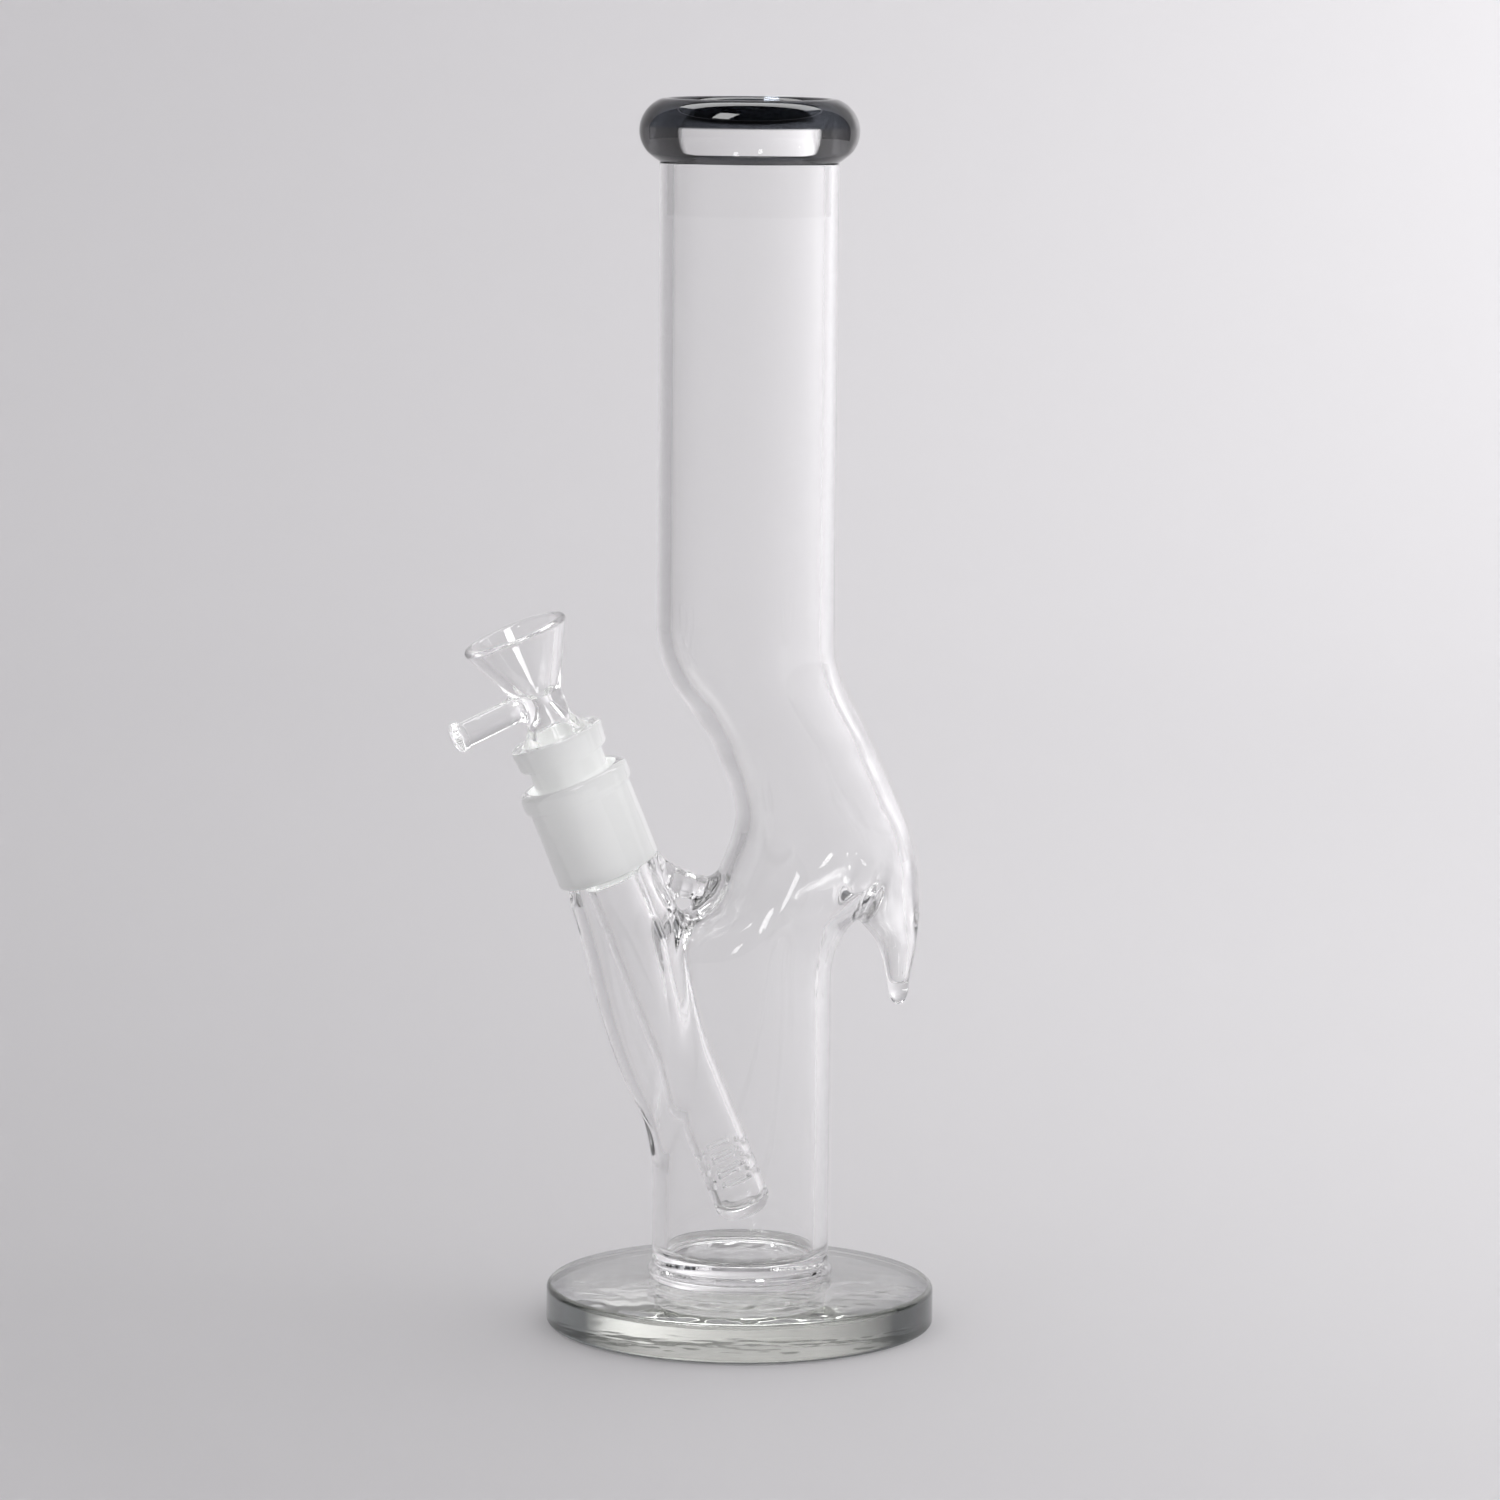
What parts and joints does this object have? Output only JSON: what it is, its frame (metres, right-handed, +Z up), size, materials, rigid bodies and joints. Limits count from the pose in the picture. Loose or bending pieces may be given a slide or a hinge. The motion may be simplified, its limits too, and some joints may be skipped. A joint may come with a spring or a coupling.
{
  "type": "glass water pipe",
  "caption": "Clear glass water pipe: straight tube with an S-bend and a hollow horn on a thick disc foot, a smoke glass mouthpiece ring, and a lift-out diffused downstem with a cone bowl.",
  "frame": {"origin": "centre of the flat underside of the base disc", "axes": "+Z up along the straight tube; the S-bend leans towards +X, the joint and bowl stand out towards -X, and Y = 0 is the plane they share"},
  "size_m": [0.1058, 0.0834, 0.2626],
  "materials": {
    "clear_glass": "clear fire-polished borosilicate glass",
    "base_glass": "thick clear glass with a light smoke-grey tint",
    "smoke_glass": "glossy dark smoke-grey glass",
    "ground_glass": "frosted ground joint in clear glass"
  },
  "bodies": {
    "pipe": {"base_disc": "base_glass", "chamber_floor": "clear_glass", "lower_tube": "clear_glass", "s_bend": "clear_glass", "upper_tube": "clear_glass", "mouthpiece_rim": "smoke_glass", "joint_neck": "clear_glass", "joint_socket": "ground_glass", "brace_strut": "clear_glass"},
    "downstem": {"downstem_collar": "ground_glass", "downstem_cone": "ground_glass", "downstem_tube": "clear_glass", "downstem_diffuser": "clear_glass"},
    "bowl": {"bowl_cone": "ground_glass", "bowl_neck": "clear_glass", "bowl_funnel": "clear_glass", "bowl_handle": "clear_glass"}
  },
  "joints": [
    {"name": "downstem_lift", "type": "slide", "parent": "pipe", "child": "downstem", "axis": [-0.3762, 0, 0.9265], "range_m": [0, 0.13]},
    {"name": "bowl_lift", "type": "slide", "parent": "downstem", "child": "bowl", "axis": [-0.3762, 0, 0.9265], "range_m": [0, 0.03]}
  ]
}
